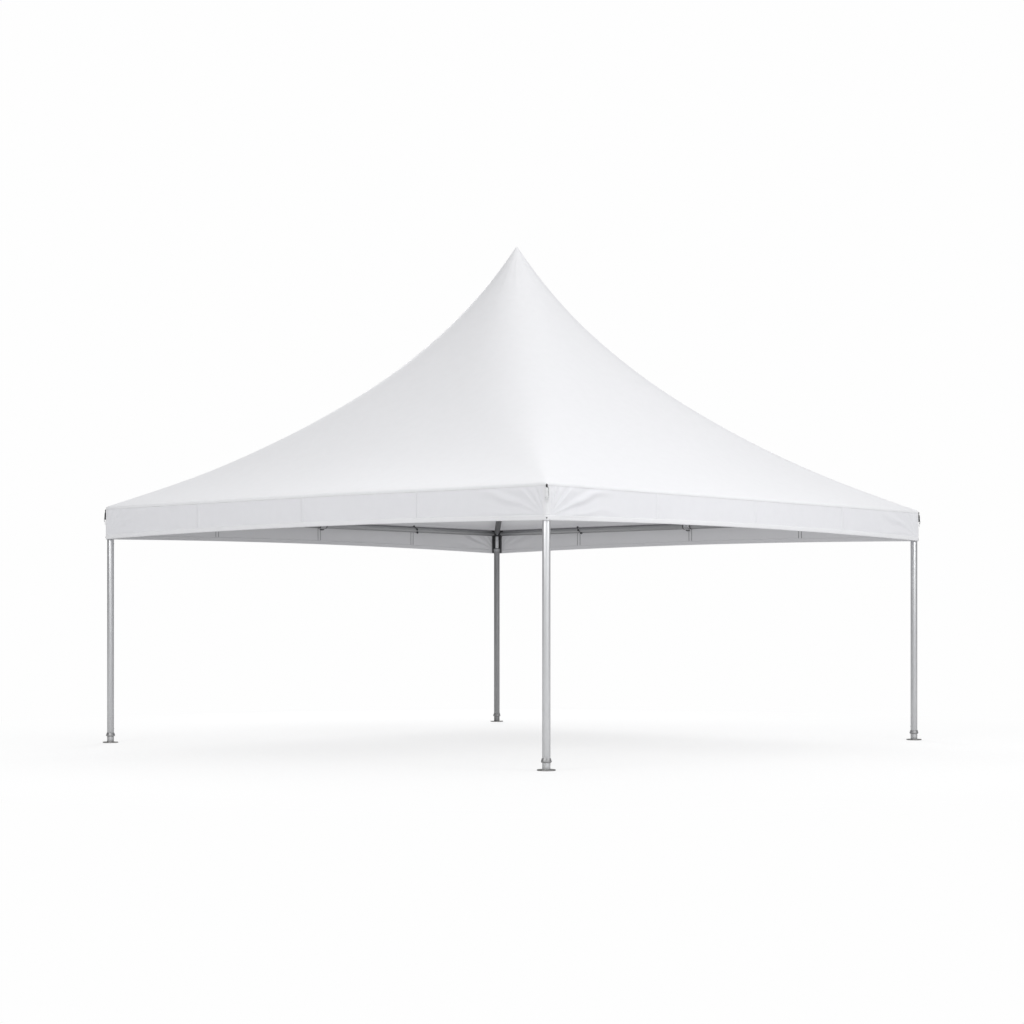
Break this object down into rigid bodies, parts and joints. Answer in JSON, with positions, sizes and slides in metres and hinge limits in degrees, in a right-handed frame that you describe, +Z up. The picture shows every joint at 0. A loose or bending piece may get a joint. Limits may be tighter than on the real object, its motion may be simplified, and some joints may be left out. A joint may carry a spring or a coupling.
{
  "type": "high-peak frame marquee tent",
  "caption": "Square frame marquee with a tensioned white top drawn up to a point, plain valances, tube legs on round base plates, hip rafters and a mast on a crown.",
  "frame": {"origin": "on the ground under the peak, at the centre of the base plates' undersides", "axes": "+Z up, front faces -Y, right side faces +X"},
  "size_m": [6.19, 6.19, 5.2342],
  "materials": {
    "aluminium_tube": "satin",
    "cast_fitting": "cast, dull",
    "base_plate_steel": "galvanised",
    "roof_fabric": "coated, semi-matte",
    "valance_fabric": "coated, semi-matte",
    "strap_webbing": "woven"
  },
  "bodies": {
    "root": {"front_left_base_plate": "base_plate_steel", "front_left_leg_collar": "cast_fitting", "front_left_leg": "aluminium_tube", "front_left_corner_fitting": "cast_fitting", "front_left_rafter": "aluminium_tube", "front_left_corner_strap": "strap_webbing", "front_right_base_plate": "base_plate_steel", "front_right_leg_collar": "cast_fitting", "front_right_leg": "aluminium_tube", "front_right_corner_fitting": "cast_fitting", "front_right_rafter": "aluminium_tube", "front_right_corner_strap": "strap_webbing", "back_left_base_plate": "base_plate_steel", "back_left_leg_collar": "cast_fitting", "back_left_leg": "aluminium_tube", "back_left_corner_fitting": "cast_fitting", "back_left_rafter": "aluminium_tube", "back_left_corner_strap": "strap_webbing", "back_right_base_plate": "base_plate_steel", "back_right_leg_collar": "cast_fitting", "back_right_leg": "aluminium_tube", "back_right_corner_fitting": "cast_fitting", "back_right_rafter": "aluminium_tube", "back_right_corner_strap": "strap_webbing", "front_eave_tube_1": "aluminium_tube", "front_eave_tube_2": "aluminium_tube", "front_eave_tee": "cast_fitting", "front_roof_panel": "roof_fabric", "front_valance": "valance_fabric", "right_eave_tube_1": "aluminium_tube", "right_eave_tube_2": "aluminium_tube", "right_eave_tee": "cast_fitting", "right_roof_panel": "roof_fabric", "right_valance": "valance_fabric", "back_eave_tube_1": "aluminium_tube", "back_eave_tube_2": "aluminium_tube", "back_eave_tee": "cast_fitting", "back_roof_panel": "roof_fabric", "back_valance": "valance_fabric", "left_eave_tube_1": "aluminium_tube", "left_eave_tube_2": "aluminium_tube", "left_eave_tee": "cast_fitting", "left_roof_panel": "roof_fabric", "left_valance": "valance_fabric", "crown": "cast_fitting", "mast": "aluminium_tube", "mast_head": "cast_fitting", "peak_cap": "roof_fabric"}
  },
  "joints": []
}
